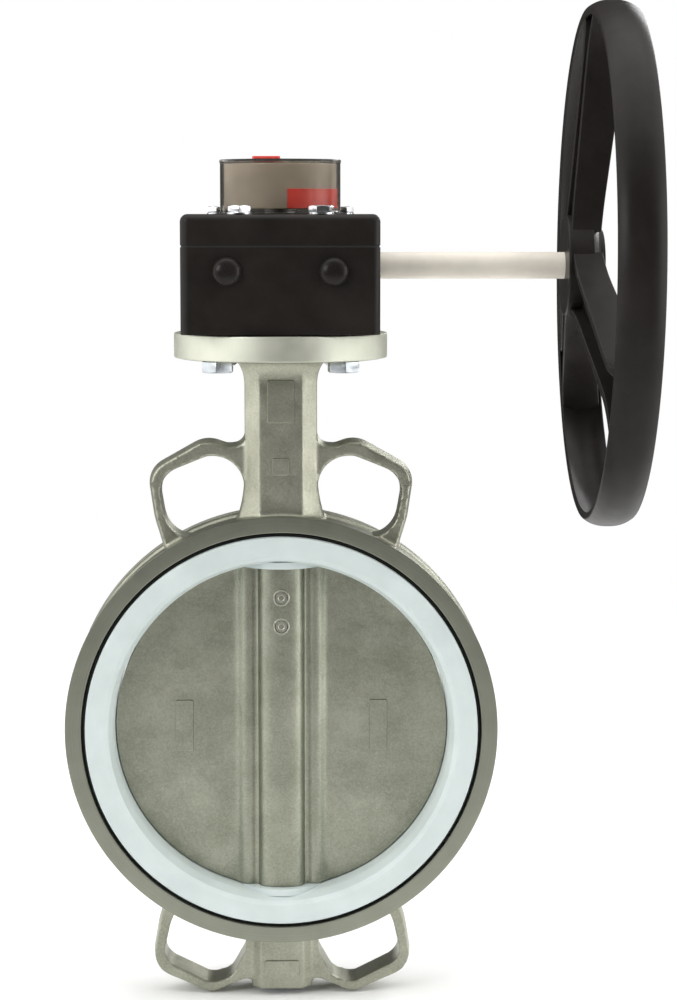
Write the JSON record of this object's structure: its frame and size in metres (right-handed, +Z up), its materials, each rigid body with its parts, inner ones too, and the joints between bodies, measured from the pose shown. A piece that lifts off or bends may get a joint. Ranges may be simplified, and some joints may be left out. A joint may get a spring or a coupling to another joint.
{
  "type": "wafer butterfly valve",
  "caption": "Wafer butterfly valve: a lined round body whose disc turns a quarter turn on a vertical stem, driven through a worm gearbox by a side handwheel.",
  "frame": {"origin": "where the pipe axis crosses the stem axis, halfway between the two seat faces", "axes": "+Z up the stem towards the gearbox, -Y out of the front face along the pipe, +X towards the handwheel"},
  "size_m": [0.3375, 0.315, 0.5905],
  "materials": {
    "cast_stainless": "blasted casting, satin",
    "cast_disc": "blasted casting, satin",
    "seat_white": "satin",
    "backing_rubber": "matt",
    "seal_rubber": "matt",
    "bush_bronze": "machined",
    "stem_steel": "ground",
    "gear_steel": "machined",
    "zinc_steel": "zinc plated",
    "bright_bolt": "bright plated",
    "gearbox_black": "semi-gloss black paint",
    "dome_black": "gloss",
    "wheel_black": "semi-gloss black paint",
    "shaft_cream": "satin",
    "cap_plastic": "smoked moulding, satin",
    "drum_grey": "satin",
    "flag_red": "satin"
  },
  "bodies": {
    "valve": {"valve_body": "cast_stainless", "seat_liner": "seat_white", "seat_backing_ring": "backing_rubber", "upper_stem_bush": "bush_bronze", "middle_stem_bush": "bush_bronze", "lower_stem_bush": "bush_bronze", "stem_o_rings": "seal_rubber", "bottom_plug": "zinc_steel", "bottom_plug_seal": "seal_rubber", "flange_gasket": "seal_rubber", "mounting_bolts": "zinc_steel", "gearbox_housing": "gearbox_black", "cover_gasket": "seal_rubber", "gearbox_cover": "gearbox_black", "cover_bolts": "bright_bolt", "worm_bush_left": "bush_bronze", "worm_bush_right": "bush_bronze", "worm_end_cap": "gearbox_black", "input_shaft_seal": "seal_rubber", "stop_screws": "gear_steel", "stop_screw_caps": "dome_black", "sleeve_bush_lower": "bush_bronze", "sleeve_bush_upper": "bush_bronze", "thrust_washer": "bush_bronze", "indicator_cap": "cap_plastic", "indicator_mark": "flag_red", "indicator_cap_seal": "seal_rubber", "spindle_o_ring": "seal_rubber"},
    "stem": {"disc": "cast_disc", "disc_pins": "stem_steel", "upper_stem": "stem_steel", "lower_stem": "stem_steel", "stem_retaining_ring": "stem_steel", "drive_sleeve": "gear_steel", "wheel_key": "gear_steel", "worm_wheel": "gear_steel", "indicator_drum": "drum_grey", "indicator_flag": "flag_red"},
    "input": {"input_shaft": "shaft_cream", "worm": "gear_steel", "worm_pin": "gear_steel", "handwheel": "wheel_black", "handwheel_key": "gear_steel", "handwheel_washer": "zinc_steel", "handwheel_screw": "bright_bolt"}
  },
  "joints": [
    {"name": "handwheel_turn", "type": "hinge", "parent": "valve", "child": "input", "pos_m": [0.1, 0.042, 0.271], "axis": [1, 0, 0], "range_deg": [0, 2160]},
    {"name": "stem_turn", "type": "hinge", "parent": "valve", "child": "stem", "pos_m": [0, 0, 0], "axis": [0, 0, 1], "range_deg": [0, 90]}
  ],
  "couplings": [
    {"joint": "stem_turn", "follows": "handwheel_turn", "ratio": 0.041667}
  ]
}
